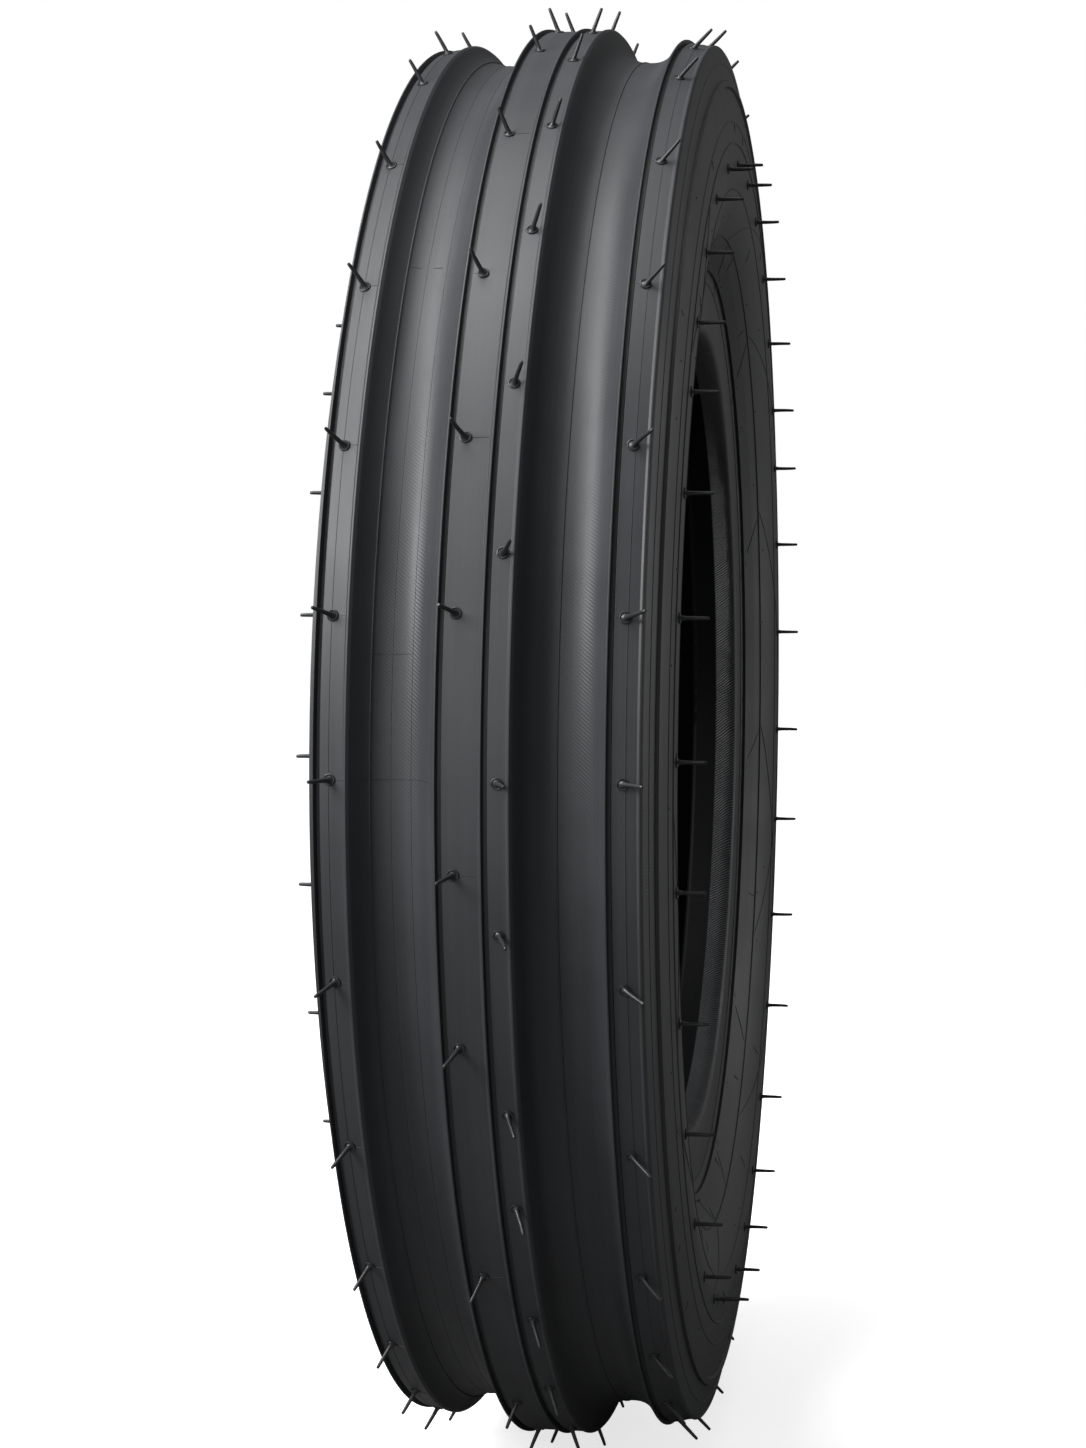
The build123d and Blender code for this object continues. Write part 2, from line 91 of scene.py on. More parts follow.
# The mould halves leave a ridge where they meet, with a channel as at a tall lip
parting_place = 3.6
parting_foot = 0.9

# Roundings of the lips and of what lies beside them
lip_outer_round = 0.25
lip_inner_round = 0.2
foot_round = 0.3
brim_round = 0.15
edge_round = 0.8

# Steps of a full ring, and the angle from which an edge is sharp
ring_steps = 360
smooth_angle = radians(35)

# Fine ridges round the tread: place, width and height
tread_lines = (
    (-60.2, 0.6, 0.15),
    (-44.4, 1.0, 0.4),
    (-36.2, 0.6, 0.12),
    (-27.6, 0.6, 0.12),
    (32.1, 1.0, 0.4),
    (60.8, 0.6, 0.15),
)

# The cords' print on the bead: where it starts past the toe, and fades towards the heel. Inside
# the toe's end the colour is painted near black as shade of the hollow inside
toe_end = 45.0
print_start = 46.0
seat_end = 204.6
heel_start = 206.2

# Fine rings on each wall: radius, width and height
wall_lines = (
    (232.0, 1.0, 0.4),
    (254.0, 1.2, 0.5),
    (277.0, 1.0, 0.35),
    (299.5, 1.2, 0.5),
    (310.0, 0.8, 0.3),
    (338.0, 0.8, 0.25),
)


def put(tree, kind, **values):
    """Adds a shader node; values are its own settings, or its inputs by name."""
    node = tree.nodes.new("ShaderNode" + kind)
    for key, value in values.items():
        if hasattr(node, key):
            setattr(node, key, value)
        else:
            feed(tree, node.inputs[key.replace("_", " ")], value)
    return node


def feed(tree, socket, value):
    """Gives an input a plain value, or links it to another node's output."""
    if isinstance(value, bpy.types.NodeSocket):
        tree.links.new(value, socket)
    else:
        socket.default_value = value


def maths(tree, operation, first, second=0.0):
    """The output of one Math node."""
    node = put(tree, "Math", operation=operation)
    feed(tree, node.inputs[0], first)
    feed(tree, node.inputs[1], second)
    return node.outputs[0]


def ranged(tree, value, low, high, to_low, to_high):
    """A value moved from one range to another, and kept within it."""
    return put(
        tree, "MapRange", Value=value, From_Min=low, From_Max=high, To_Min=to_low, To_Max=to_high
    ).outputs["Result"]


class Finish:
    """A material and the shader nodes that most finishes share."""

    def __init__(self, name, colour, roughness):
        self.made = bpy.data.materials.new(name)
        self.made.use_nodes = True
        self.tree = self.made.node_tree
        self.shader = self.tree.nodes["Principled BSDF"]
        self.colour = colour
        self.shader.inputs["Base Color"].default_value = (*colour, 1)
        self.shader.inputs["Roughness"].default_value = roughness
        self.place = put(self.tree, "TexCoord").outputs["Object"]
        parts = put(self.tree, "SeparateXYZ", Vector=self.place)
        self.axial = parts.outputs["Y"]
        self.turn = maths(self.tree, "ARCTAN2", parts.outputs["Z"], parts.outputs["X"])
        across = maths(self.tree, "MULTIPLY", parts.outputs["X"], parts.outputs["X"])
        height = maths(self.tree, "MULTIPLY", parts.outputs["Z"], parts.outputs["Z"])
        self.radius = maths(self.tree, "SQRT", maths(self.tree, "ADD", across, height))
        self.heights = []
        self.shades = []

    def noise(self, size, detail=3.0, stretch=(1, 1, 1)):
        """Noise with features of about this size in metres, stretched along some axes."""
        scaled = put(self.tree, "Mapping", Vector=self.place, Scale=stretch)
        texture = put(
            self.tree, "TexNoise", Vector=scaled.outputs[0], Scale=1 / size, Detail=detail
        )
        return texture.outputs["Fac"]

    def relief(self, pattern, height):
        """A pattern from 0 to 1 that stands this high in the surface."""
        self.heights.append(maths(self.tree, "MULTIPLY", pattern, height))

    def shade(self, pattern, darkest, lightest, low=0.3, high=0.7):
        """A pattern that multiplies the colour."""
        self.shades.append(ranged(self.tree, pattern, low, high, darkest, lightest))

    def gloss(self, pattern, spread, low=0.3, high=0.7):
        """A pattern that changes the roughness up and down."""
        rough = self.shader.inputs["Roughness"]
        level = rough.default_value
        feed(
            self.tree, rough, ranged(self.tree, pattern, low, high, level - spread, level + spread)
        )

    def cords(self, around, slant, waviness=0.0):
        """Cords at a slant to the circumference, as waves from -1 to 1."""
        turns = maths(self.tree, "MULTIPLY", self.turn, around)
        run = maths(self.tree, "MULTIPLY", self.axial, slant)
        phase = maths(self.tree, "ADD", waviness, maths(self.tree, "ADD", turns, run))
        return maths(self.tree, "SINE", phase)

    def done(self):
        """Joins the reliefs and shades to the shader."""
        total = self.heights[0]
        for height in self.heights[1:]:
            total = maths(self.tree, "ADD", total, height)
        bump = put(self.tree, "Bump", Strength=1.0, Distance=1.0, Height=total)
        feed(self.tree, self.shader.inputs["Normal"], bump.outputs["Normal"])
        total = self.shades[0]
        for shade in self.shades[1:]:
            total = maths(self.tree, "MULTIPLY", total, shade)
        tinted = put(self.tree, "VectorMath", operation="SCALE")
        tinted.inputs[0].default_value = self.colour
        feed(self.tree, tinted.inputs["Scale"], total)
        feed(self.tree, self.shader.inputs["Base Color"], tinted.outputs[0])
        return self.made


def moulded(name, colour, roughness, grain_size, grain_height):
    """Rubber as it leaves the mould: fine grain, turning marks and slow changes of shade."""
    finish = Finish(name, colour, roughness)
    finish.relief(finish.noise(grain_size), grain_height)
    turning = finish.noise(4 * mm, stretch=(0.02, 4, 0.02))
    finish.relief(turning, 0.02 * mm)
    finish.shade(turning, 0.95, 1.05)
    slow = finish.noise(60 * mm, detail=5.0)
    finish.shade(slow, 0.9, 1.1)
    finish.gloss(slow, 0.05)
    return finish


def tread_rubber():
    """Rubber with a fine cross grain on the groove floors, and streaks round the wheel."""
    finish = moulded("tread_rubber", (0.037, 0.039, 0.043), 0.5, 0.7 * mm, 0.03 * mm)
    tree = finish.tree
    floor_end = (tread_floor + 2) * mm
    side_start = (tread_floor + 5) * mm
    on_floor = ranged(tree, finish.radius, floor_end, side_start, 1, 0)
    cross_grain = finish.cords(around=1300, slant=3200)
    finish.relief(maths(tree, "MULTIPLY", cross_grain, on_floor), 0.02 * mm)
    finish.shade(finish.noise(7 * mm, stretch=(0.02, 1, 0.02)), 0.86, 1.14)
    return finish.done()


# A darker, glossier copy of the tread rubber for the hairs; the darker colour is painted shade
def hair_rubber_painted_shade():
    return moulded("hair_rubber_painted_shade", (0.028, 0.029, 0.031), 0.36, 0.5 * mm, 0.01 * mm).done()


def sidewall_rubber():
    return moulded("sidewall_rubber", (0.034, 0.036, 0.040), 0.5, 0.9 * mm, 0.04 * mm).done()


def base_rubber():
    return moulded("base_rubber", (0.028, 0.028, 0.030), 0.6, 2 * mm, 0.08 * mm).done()


def liner_rubber():
    """Dull rubber with the cross ribs that the curing bladder leaves."""
    finish = moulded("liner_rubber", (0.005, 0.005, 0.006), 0.75, 3 * mm, 0.1 * mm)
    finish.shader.inputs["Specular IOR Level"].default_value = 0.15
    finish.relief(finish.cords(around=240, slant=0), 0.1 * mm)
    return finish.done()


def cord_fabric():
    """Rubber-coated cords that lie at a bias to the circumference."""
    finish = moulded("cord_fabric", (0.10, 0.09, 0.08), 0.75, 1.2 * mm, 0.05 * mm)
    cords = finish.cords(around=1400, slant=5000)
    finish.relief(cords, 0.15 * mm)
    finish.shade(cords, 0.6, 1.1, -1, 1)
    return finish.done()


def chafer_fabric():
    """Rubber with the print of the cords below it on the seat, and a smooth toe and face. Painted
    shade darkens the print's gaps, and darkens the toe and the inside past it to near black.
    """
    finish = moulded("chafer_fabric", (0.040, 0.042, 0.046), 0.5, 0.9 * mm, 0.04 * mm)
    tree = finish.tree
    waviness = maths(tree, "MULTIPLY", finish.noise(16 * mm, detail=1.0), 16)
    cords = finish.cords(around=840, slant=2600, waviness=waviness)
    seat = ranged(tree, finish.radius, seat_end * mm, heel_start * mm, 1, 0)
    from_middle = maths(tree, "ABSOLUTE", finish.axial)
    past_toe = ranged(tree, from_middle, toe_end * mm, print_start * mm, 0, 1)
    printed = maths(tree, "MULTIPLY", seat, past_toe)
    finish.relief(maths(tree, "MULTIPLY", cords, printed), 0.3 * mm)
    # Painted shade: the troughs between the printed cords are darkened almost to black
    painted_gap_shade = ranged(tree, cords, -0.6, 0.5, 0.9, 0)
    finish.shade(maths(tree, "MULTIPLY", painted_gap_shade, printed), 1, 0, 0, 1)
    # Painted shade: the toe and the inside past it are darkened to near black and made dull,
    # standing in for the shade of the tyre's hollow inside
    finish.shade(past_toe, 0.06, 1, 0, 1)
    feed(tree, finish.shader.inputs["Specular IOR Level"], ranged(tree, past_toe, 0, 1, 0.05, 0.5))
    return finish.done()


def bead_wire():
    finish = moulded("bead_wire", (0.5, 0.42, 0.34), 0.3, 1 * mm, 0.02 * mm)
    finish.shader.inputs["Metallic"].default_value = 1.0
    return finish.done()


makers = {
    "tread_rubber": tread_rubber,
    "hair_rubber_painted_shade": hair_rubber_painted_shade,
    "sidewall_rubber": sidewall_rubber,
    "base_rubber": base_rubber,
    "liner_rubber": liner_rubber,
    "cord_fabric": cord_fabric,
    "chafer_fabric": chafer_fabric,
    "bead_wire": bead_wire,
}
finishes = {name: make() for name, make in makers.items()}
for part in frame["record"]["subparts"]:
    node = nodes[part["node"]]
    node.data.materials.clear()
    node.data.materials.append(finishes[part["material_slot"]])


def piece(name, mesh, slot, *stands_for):
    """A new piece of the tyre with the finish of a slot, in place of some CAD nodes."""
    made = bpy.data.objects.new(name, mesh)
    bpy.context.scene.collection.objects.link(made)
    mesh.materials.append(finishes[slot])
    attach(made, "root")
    if stands_for:
        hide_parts(*stands_for)
    return made


def outward(turn):
    """The direction away from the wheel axis, at a turn up from +X."""
    return Vector((cos(turn), 0, sin(turn)))


def rounded(corners, arc_step=radians(12)):
    """An outline through corners of (place, radius, rounding), with arcs at the roundings."""
    outline = [Vector(corners[0][:2])]
    for before, here, after in zip(corners, corners[1:], corners[2:]):
        corner = Vector(here[:2])
        back = (Vector(before[:2]) - corner).normalized()
        onward = (Vector(after[:2]) - corner).normalized()
        half = back.angle(onward) / 2
        centre = corner + (back + onward).normalized() * here[2] / sin(half)
        start = corner + back * here[2] / tan(half) - centre
        sweep = pi - 2 * half
        if back.x * onward.y - back.y * onward.x > 0:
            sweep = -sweep
        steps = max(1, ceil(abs(sweep) / arc_step))
        for step in range(steps + 1):
            outline.append(centre + Matrix.Rotation(sweep * step / steps, 2) @ start)
    outline.append(Vector(corners[-1][:2]))
    return outline


def turned(name, outline):
    """A closed ring mesh: the outline turned round the wheel axis."""
    count = len(outline)
    verts = []
    faces = []
    for step in range(ring_steps):
        way = outward(2 * pi * step / ring_steps)
        verts += [way * radius * mm + Vector((0, place * mm, 0)) for place, radius in outline]
        here = step * count
        there = (step + 1) % ring_steps * count
        for index in range(count):
            after = (index + 1) % count
            faces.append((here + index, here + after, there + after, there + index))
    mesh = bpy.data.meshes.new(name)
    mesh.from_pydata(verts, [], faces)
    return finished(mesh)


def finished(mesh):
    """The same mesh with its normals outwards and its gentle edges smooth."""
    tidy = bmesh.new()
    tidy.from_mesh(mesh)
    bmesh.ops.recalc_face_normals(tidy, faces=tidy.faces)
    tidy.to_mesh(mesh)
    tidy.free()
    mesh.shade_smooth()
    mesh.set_sharp_from_angle(angle=smooth_angle)
    return mesh


def section(node, turn=radians(3.7)):
    """The outline of a CAD ring where a half plane through the wheel axis cuts it."""
    mesh = bmesh.new()
    mesh.from_mesh(node.data)
    bmesh.ops.remove_doubles(mesh, verts=mesh.verts, dist=0.01 * mm)
    way = outward(turn)
    everything = [*mesh.verts, *mesh.edges, *mesh.faces]
    cut = bmesh.ops.bisect_plane(
        mesh, geom=everything, plane_co=(0, 0, 0), plane_no=outward(turn + pi / 2)
    )
    points = [v for v in cut["geom_cut"] if isinstance(v, bmesh.types.BMVert)]
    points = {v for v in points if v.co.dot(way) > 0}
    chain = [points.pop()]
    while points:
        near = [e.other_vert(chain[-1]) for e in chain[-1].link_edges]
        near = [v for v in near if v in points]
        if not near:
            break
        points.discard(near[0])
        chain.append(near[0])
    outline = [Vector((v.co.y / mm, v.co.dot(way) / mm)) for v in chain]
    mesh.free()
    return outline


def rib(left, right):
    """The corners of a rib's face: the tall lip and its channel, then the low lip."""
    left, right = Vector(left), Vector(right)
    along = (right - left).normalized()
    up = Vector((-along.y, along.x))
    corners = (
        (left, 0, lip_height, lip_outer_round),
        (left, lip_crest, lip_height, lip_inner_round),
        (left, channel_start, -channel_depth, foot_round),
        (left, channel_end, -channel_depth, foot_round),
        (left, channel_brim, 0, brim_round),
        (right, -low_lip_foot, 0, foot_round),
        (right, -low_lip_start, low_lip_height, lip_outer_round),
        (right, -low_lip_end, low_lip_height, foot_round),
        (right, edge_run, -edge_drop, edge_round),
    )
    return [(*(edge + along * run + up * rise), bend) for edge, run, rise, bend in corners]


def tread_outline():
    """The tread's outline: three ribs over the face that the CAD gives it underneath."""
    cad = section(nodes["tread_cap"])
    right_wing = cad.index(max(cad, key=lambda point: point.x))
    cad = cad[right_wing:] + cad[:right_wing]
    left_wing = cad.index(min(cad, key=lambda point: point.x))
    halves = [cad[1:left_wing], cad[left_wing + 1 :]]
    halves.sort(key=lambda half: max(point.y for point in half))
    under = halves[0]
    if under[0].x < under[-1].x:
        under.reverse()
    inner_edge = crown_radius - shoulder_rib_drop
    outer_edge = inner_edge - shoulder_rib_fall
    groove_start = centre_rib_half_width + groove_side_run
    groove_end = shoulder_rib_inner - groove_side_run
    left_foot = (-groove_end, tread_floor, groove_foot_round)
    ridge_start = parting_place - lip_crest / 2
    corners = [
        (*cad[left_wing], 0),
        *rib((-shoulder_rib_outer, outer_edge), (-shoulder_rib_inner, inner_edge)),
        left_foot,
        (-groove_start, tread_floor, groove_foot_round),
        *rib((-centre_rib_half_width, crown_radius), (centre_rib_half_width, crown_radius)),
        (groove_start, tread_floor, groove_foot_round),
        (groove_end, tread_floor, groove_foot_round),
        *rib((shoulder_rib_inner, inner_edge), (shoulder_rib_outer, outer_edge)),
        (*cad[0], 0),
    ]
    ridge = [
        (ridge_start - parting_foot, crown_radius, lip_inner_round),
        (ridge_start, crown_radius + lip_height, lip_inner_round),
        (ridge_start + lip_crest, crown_radius + lip_height, lip_inner_round),
        (ridge_start + channel_start, crown_radius - channel_depth, foot_round),
        (ridge_start + channel_end, crown_radius - channel_depth, foot_round),
        (ridge_start + channel_brim, crown_radius, brim_round),
    ]
    centre_rib = corners.index((-groove_start, tread_floor, groove_foot_round)) + 1
    centre_face = centre_rib + tall_lip_corners
    corners[centre_face:centre_face] = ridge
    return rounded(corners) + under


tread = piece("tread", turned("tread", tread_outline()), "tread_rubber", "tread_cap")


def surface(*parts):
    """The faces of some objects, to find places on."""
    verts = []
    faces = []
    for part in parts:
        first = len(verts)
        verts += [vert.co for vert in part.data.vertices]
        faces += [[first + index for index in face.vertices] for face in part.data.polygons]
    return BVHTree.FromPolygons(verts, faces)


walls = {
    -1: surface(tread, nodes["sidewall_left"], nodes["chafer_left"]),
    1: surface(tread, nodes["sidewall_right"], nodes["chafer_right"]),
}
tread_surface = surface(tread)

# Rays that look for a surface start past all of it: at a radius, and at a place on the axis
outside_tread = 400.0
outside_wall = 100.0

# A fine ridge or pip is sunk a little, so that it leaves no gap under its edges
sink = 0.15
crest_share = 0.35
end_share = 0.3
pip_sides = 8


def on_tread(place, turn):
    """The point and normal of the tread at a place along the axis and a turn."""
    start = outward(turn) * outside_tread * mm + Vector((0, place * mm, 0))
    spot, normal, _, _ = tread_surface.ray_cast(start, -outward(turn))
    return spot, normal


def on_wall(side, radius, turn):
    """The point and normal of a wall at a radius and a turn; side is 1 towards +Y."""
    start = outward(turn) * radius * mm + Vector((0, side * outside_wall * mm, 0))
    spot, normal, _, _ = walls[side].ray_cast(start, Vector((0, -side, 0)))
    return spot, normal


def bridge(mesh, lower, upper):
    """The faces between two rounds of as many vertices."""
    for step in range(len(lower)):
        after = (step + 1) % len(lower)
        mesh.faces.new((lower[step], lower[after], upper[after], upper[step]))


def raise_line(mesh, spots, width, height, closed=False):
    """Adds a fine ridge along points of a surface. An open one tapers off at both ends."""
    rows = []
    last = len(spots) - 1
    for index, (spot, normal) in enumerate(spots):
        before = spots[index - 1 if closed else max(index - 1, 0)][0]
        after = spots[(index + 1) % (last + 1) if closed else min(index + 1, last)][0]
        aside = (after - before).cross(normal).normalized() * width / 2 * mm
        top = normal * height * mm
        if not closed and index in (0, last):
            top, aside = top * 0, aside * end_share
        foot = normal * -sink * mm
        rows.append(
            [
                mesh.verts.new(spot + aside + foot),
                mesh.verts.new(spot + aside * crest_share + top),
                mesh.verts.new(spot - aside * crest_share + top),
                mesh.verts.new(spot - aside + foot),
            ]
        )
    for index, row in enumerate(rows if closed else rows[:-1]):
        bridge(mesh, row, rows[(index + 1) % len(rows)])
    if not closed:
        mesh.faces.new(rows[0])
        mesh.faces.new(reversed(rows[-1]))


def ring_of(mesh, centre, normal, across, radius, sides):
    """A round of vertices; across is the direction of the first one."""
    beside = normal.cross(across)
    turns = [2 * pi * step / sides for step in range(sides)]
    return [
        mesh.verts.new(centre + (across * cos(t) + beside * sin(t)) * radius * mm) for t in turns
    ]


def raise_pip(mesh, spot, normal, radius, height):
    """Adds a small round pip."""
    across = normal.orthogonal().normalized()
    rings = []
    for share, rise in ((1.0, -sink), (0.8, 0.7 * height), (0.4, height)):
        centre = spot + normal * rise * mm
        rings.append(ring_of(mesh, centre, normal, across, radius * share, pip_sides))
    for lower, upper in zip(rings, rings[1:]):
        bridge(mesh, lower, upper)
    mesh.faces.new(rings[-1])
    mesh.faces.new(reversed(rings[0]))


def from_bmesh(name, mesh):
    made = bpy.data.meshes.new(name)
    mesh.to_mesh(made)
    mesh.free()
    return finished(made)


full_turn = [2 * pi * step / ring_steps for step in range(ring_steps)]
lines = bmesh.new()
for place, width, height in tread_lines:
    raise_line(lines, [on_tread(place, turn) for turn in full_turn], width, height, closed=True)
piece("tread_lines", from_bmesh("tread_lines", lines), "tread_rubber")

for side, name in ((-1, "left"), (1, "right")):
    lines = bmesh.new()
    for radius, width, height in wall_lines:
        spots = [on_wall(side, radius, turn) for turn in full_turn]
        raise_line(lines, spots, width, height, closed=True)
    piece(f"wall_lines_{name}", from_bmesh(f"wall_lines_{name}", lines), "sidewall_rubber")


def loose_solids(node):
    """The points of each separate solid of a CAD node."""
    mesh = bmesh.new()
    mesh.from_mesh(node.data)
    bmesh.ops.remove_doubles(mesh, verts=mesh.verts, dist=0.01 * mm)
    seen = set()
    found = []
    for first in mesh.verts:
        if first in seen:
            continue
        seen.add(first)
        solid = [first]
        for vert in solid:
            for edge in vert.link_edges:
                other = edge.other_vert(vert)
                if other not in seen:
                    seen.add(other)
                    solid.append(other)
        found.append([vert.co.copy() for vert in solid])
    mesh.free()
    return found


# Vent hairs stand where the CAD hairs do. Each has a small cup, given as radius and height,
# and a stem, given as radius and share of the hair's length, that turns from the cup's
# direction to its own over its first part
hair_sides = 12
most_bend = 0.7
turned_share = 0.25
nearly_axial = Vector((0, 1, 0.01))
cup_outline = (
    (2.4, -0.15),
    (2.6, 0.2),
    (2.5, 0.55),
    (2.25, 0.65),
    (2.0, 0.5),
    (1.7, 0.3),
)
stem_outline = (
    (1.35, 0.05),
    (1.15, 0.1),
    (1.0, 0.18),
    (0.95, 0.3),
    (0.9, 0.5),
    (0.84, 0.7),
    (0.78, 0.88),
    (0.7, 0.97),
    (0.45, 0.995),
)


def hair_stand(points):
    """The foot of a hair, the normal of the rubber there, and its tip."""
    middle = sum(points, Vector()) / len(points)
    axis = max((point - middle for point in points), key=lambda reach: reach.length)
    ends = [[], []]
    for point in points:
        ends[(point - middle).dot(axis) > 0].append(point)
    centres = [sum(end, Vector()) / len(end) for end in ends]
    widths = [max((p - c).length for p in end) for end, c in zip(ends, centres)]
    if widths[0] < widths[1]:
        centres.reverse()
        ends.reverse()
    foot, tip = centres
    first = ends[0][0] - foot
    others = [point - foot for point in ends[0][1:]]
    second = max(others, key=lambda reach: first.cross(reach).length)
    normal = first.cross(second).normalized()
    if normal.dot(tip - foot) < 0:
        normal.negate()
    return foot, normal, tip


def hair_ring(mesh, centre, normal, radius):
    """One round of a hair. Its start is the same all along, so that the hair isn't twisted."""
    across = normal.cross(nearly_axial).normalized()
    return ring_of(mesh, centre, normal, across, radius, hair_sides)


def hairs(name, node, slot, seed):
    """All the hairs of one CAD node as one piece, each a little bent. Returns their feet."""
    chance = Random(seed)
    mesh = bmesh.new()
    feet = []
    for points in loose_solids(nodes[node]):
        foot, normal, tip = hair_stand(points)
        feet.append((foot.y / mm, atan2(foot.z, foot.x)))
        reach = tip - foot
        way = reach.normalized()
        bend = way.orthogonal().normalized() * chance.uniform(-1, 1) * most_bend * mm
        bend += way.cross(bend).normalized() * chance.uniform(-1, 1) * most_bend * mm
        rings = [
            hair_ring(mesh, foot + normal * height * mm, normal, radius)
            for radius, height in cup_outline
        ]
        for radius, share in stem_outline:
            facing = normal.lerp(way, min(1, share / turned_share))
            bow = bend * (share**2 - share)
            rings.append(hair_ring(mesh, foot + reach * share + bow, facing, radius))
        mesh.faces.new(reversed(rings[0]))
        for lower, upper in zip(rings, rings[1:]):
            bridge(mesh, lower, upper)
        mesh.faces.new(rings[-1])
    made = piece(name, from_bmesh(name, mesh), slot, node)
    # The hairs take the darker copy of the rubber, whose darker colour is painted shade
    made.data.materials[0] = finishes["hair_rubber_painted_shade"]
    return sorted(feet)


centre_feet = hairs("hairs_centre_rib", "vent_hairs_centre_rib", "tread_rubber", 1)
left_feet = hairs("hairs_rib_left", "vent_hairs_rib_left", "tread_rubber", 2)
right_feet = hairs("hairs_rib_right", "vent_hairs_rib_right", "tread_rubber", 3)
hairs("hairs_sidewall_left", "vent_hairs_sidewall_left", "sidewall_rubber", 4)
hairs("hairs_sidewall_right", "vent_hairs_sidewall_right", "sidewall_rubber", 5)


# From each hair on the tread a thin line runs to a lip or channel of its rib, or one each way
vent_step = 1.2
vent_width = 0.4
vent_height = 0.16
cup_reach = 2.4
left_rib_end = -shoulder_rib_inner - 0.8
ridge_start = parting_place - 1.3
centre_rib_end = centre_rib_half_width - 1.0

# A few more lie in the left groove: start, end, and degrees up from the front
groove_vents = (
    (channel_brim - shoulder_rib_outer, -centre_rib_half_width - 0.3, -2.0),
    (-45.0, -27.0, 6.6),
    (-44.0, -38.0, 37.0),
    (-34.0, -29.0, 37.0),
)


def vent_line(mesh, start, end, turn):
    """A thin line across the tread, as a vent channel of the mould leaves it."""
    steps = max(2, ceil(abs(end - start) / vent_step))
    spots = [on_tread(start + (end - start) * step / steps, turn) for step in range(steps + 1)]
    raise_line(mesh, spots, vent_width, vent_height)


lines = bmesh.new()
for place, turn in left_feet:
    vent_line(lines, place + cup_reach, left_rib_end, turn)
for place, turn in right_feet:
    vent_line(lines, place - cup_reach, shoulder_rib_inner + channel_brim, turn)
for index, (place, turn) in enumerate(centre_feet):
    if place < 0:
        vent_line(lines, place - cup_reach, channel_brim - centre_rib_half_width, turn)
        if index % 2:
            vent_line(lines, place + cup_reach, ridge_start, turn)
    else:
        vent_line(lines, place - cup_reach, parting_place + channel_brim, turn)
        if index % 3 == 0:
            vent_line(lines, place + cup_reach, centre_rib_end, turn)
for start, end, lift in groove_vents:
    for half in (0, pi):
        vent_line(lines, start, end, radians(lift) + half)
piece("vent_lines", from_bmesh("vent_lines", lines), "tread_rubber")


def wall_run(mesh, side, start, end, width, height, steps):
    """A ridge on a wall from one (radius, turn in degrees) to another."""
    (start_radius, start_turn), (end_radius, end_turn) = start, end
    spots = []
    for step in range(steps + 1):
        share = step / steps
        radius = start_radius + (end_radius - start_radius) * share
        turn = start_turn + (end_turn - start_turn) * share
        spots.append(on_wall(side, radius, radians(turn)))
    raise_line(mesh, spots, width, height)


# Plain marks of the mould on the walls: joints that sweep between two rings, ticks and pips
joint_spacing = 30
joint_radii = (254.5, 299)
joint_sweep = 26
short_joint_radii = (232.5, 253.5)
short_joint_shift = 9
short_joint_sweep = 8
tick_count = 48
tick_radii = (238, 246, 262, 284, 304, 318)
pip_count = 72

for side, name in ((-1, "left"), (1, "right")):
    chance = Random(11 + side)
    lines = bmesh.new()
    for turn in range(-90, 270, joint_spacing):
        lean = chance.choice((-1, 1))
        start = (joint_radii[0], turn)
        end = (joint_radii[1], turn + joint_sweep * lean)
        wall_run(lines, side, start, end, 0.7, 0.3, 30)
        shifted = turn + short_joint_shift
        start = (short_joint_radii[0], shifted)
        end = (short_joint_radii[1], shifted - short_joint_sweep * lean)
        wall_run(lines, side, start, end, 0.6, 0.25, 14)
    for step in range(tick_count):
        turn = step * 360 / tick_count + chance.uniform(-2.5, 2.5)
        radius = chance.choice(tick_radii)
        length = chance.uniform(4, 9)
        wall_run(lines, side, (radius, turn), (radius + length, turn), 0.6, 0.28, 4)
    for step in range(pip_count):
        turn = radians(step * 360 / pip_count + chance.uniform(-2, 2))
        spot, normal = on_wall(side, chance.uniform(236, 326), turn)
        raise_pip(lines, spot, normal, 0.6, 0.4)
    piece(f"wall_marks_{name}", from_bmesh(f"wall_marks_{name}", lines), "sidewall_rubber")


# Square soft lamps: name, place, side and power
lamps = (
    ("key", (0.95, -1.15, 2.65), 1.5, 66),
    ("overhead", (0.4, -0.3, 3.0), 1.8, 18),
    ("left_front", (1.8, -2.0, 1.3), 1.2, 84),
    ("front_fill", (2.8, -0.5, 0.15), 0.9, 8),
    ("right_back", (-1.6, 2.4, 0.3), 1.6, 11),
)
surround_light = 0.12

# The floor: what it gives back to light that the camera doesn't see, its gap under the lowest
# hair, and its glow at two distances from its middle, in metres
floor_bounce = 0.15
floor_gap = 0.5
floor_reach = 30
near_glow = 0.74
far_glow = 1.02
glow_start = 0.38
glow_end = 0.75


def softbox(name, place, side, power):
    """An area lamp that faces the middle of the tyre."""
    lamp = bpy.data.lights.new(name, "AREA")
    lamp.size = side
    lamp.energy = power
    made = bpy.data.objects.new(name, lamp)
    made.location = place
    made.rotation_euler = (-Vector(place)).to_track_quat("-Z", "Y").to_euler()
    bpy.context.scene.collection.objects.link(made)


def studio_world():
    """A white surround that the camera sees, and that lights the tyre weakly."""
    world = bpy.data.worlds.new("studio")
    bpy.context.scene.world = world
    world.use_nodes = True
    tree = world.node_tree
    back = tree.nodes["Background"]
    back.inputs["Color"].default_value = (1, 1, 1, 1)
    seen = put(tree, "LightPath").outputs["Is Camera Ray"]
    feed(tree, back.inputs["Strength"], ranged(tree, seen, 0, 1, surround_light, 1))


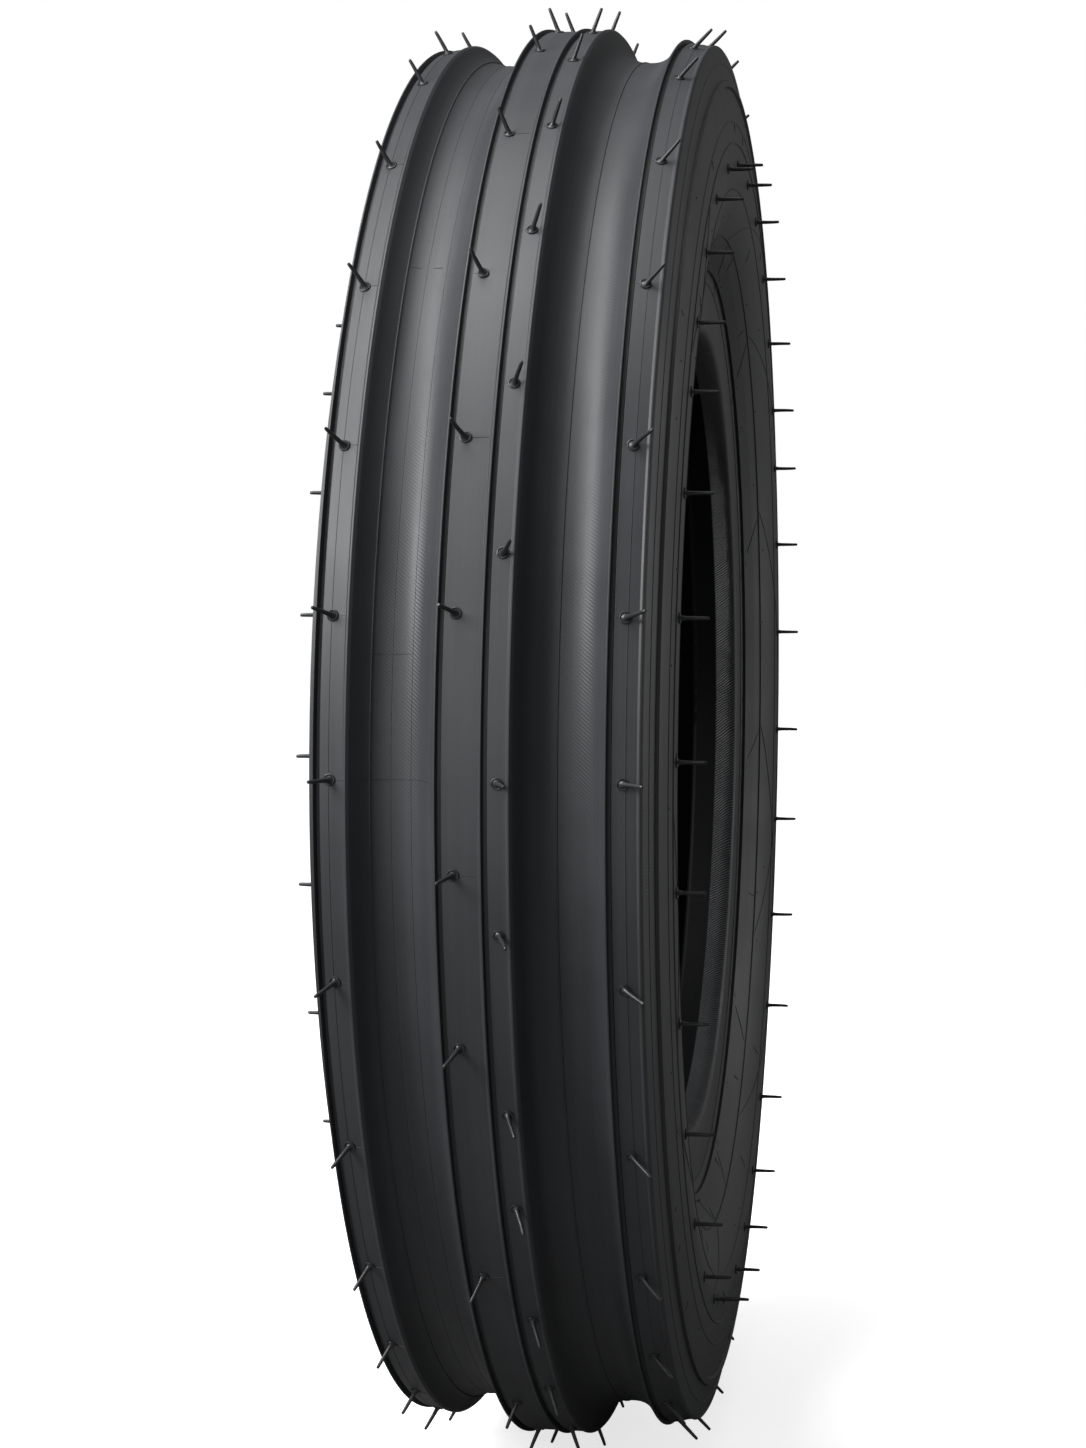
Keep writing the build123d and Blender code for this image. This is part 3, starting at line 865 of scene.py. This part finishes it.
def floor():
    """A pale floor under the lowest hair. Far off it glows to the white of the surround."""
    mesh = bpy.data.meshes.new("floor")
    level = cad_low.z - floor_gap * mm
    corners = [(x * floor_reach, y * floor_reach) for x, y in ((-1, -1), (1, -1), (1, 1), (-1, 1))]
    mesh.from_pydata([(x, y, level) for x, y in corners], [], [(0, 1, 2, 3)])
    made = bpy.data.objects.new("floor", mesh)
    bpy.context.scene.collection.objects.link(made)
    paint = Finish("floor_paint", (0.85, 0.85, 0.85), 0.9)
    paint.relief(paint.noise(5 * mm), 0.05 * mm)
    paint.shade(paint.noise(0.5), 0.99, 1.01)
    tree = paint.tree
    away = put(tree, "VectorMath", operation="LENGTH")
    feed(tree, away.inputs[0], paint.place)
    glow = ranged(tree, away.outputs["Value"], glow_start, glow_end, near_glow, far_glow)
    seen = put(tree, "LightPath").outputs["Is Camera Ray"]
    paint.shade(seen, floor_bounce, 1, 0, 1)
    paint.shader.inputs["Emission Color"].default_value = (1, 1, 1, 1)
    feed(tree, paint.shader.inputs["Emission Strength"], maths(tree, "MULTIPLY", glow, seen))
    mesh.materials.append(paint.done())


for lamp in lamps:
    softbox(*lamp)
studio_world()
floor()

# The camera: turned towards the right side, tilted and rolled in radians, and placed in its
# own directions in shares of the tread's radius
view_turn = 0.15461
view_tilt = 0.0240065
view_roll = -0.00996
lens_length = 70.241
camera_right = -0.07379 * crown_radius * mm
camera_up = 0.00982 * crown_radius * mm
camera_distance = 4.15874 * crown_radius * mm
facing = Matrix(
    (
        (-sin(view_turn), cos(view_turn), 0),
        (0, 0, 1),
        (cos(view_turn), sin(view_turn), 0),
    )
)
to_view = Matrix.Rotation(view_roll, 3, "Z") @ Matrix.Rotation(view_tilt, 3, "X") @ facing
lens = bpy.data.cameras.new("camera")
lens.lens = lens_length
camera = bpy.data.objects.new("camera", lens)
stand = to_view.transposed() @ Vector((camera_right, camera_up, camera_distance))
camera.matrix_world = Matrix.Translation(stand) @ to_view.transposed().to_4x4()
bpy.context.scene.collection.objects.link(camera)
bpy.context.scene.camera = camera
bpy.context.scene.view_settings.view_transform = "Standard"
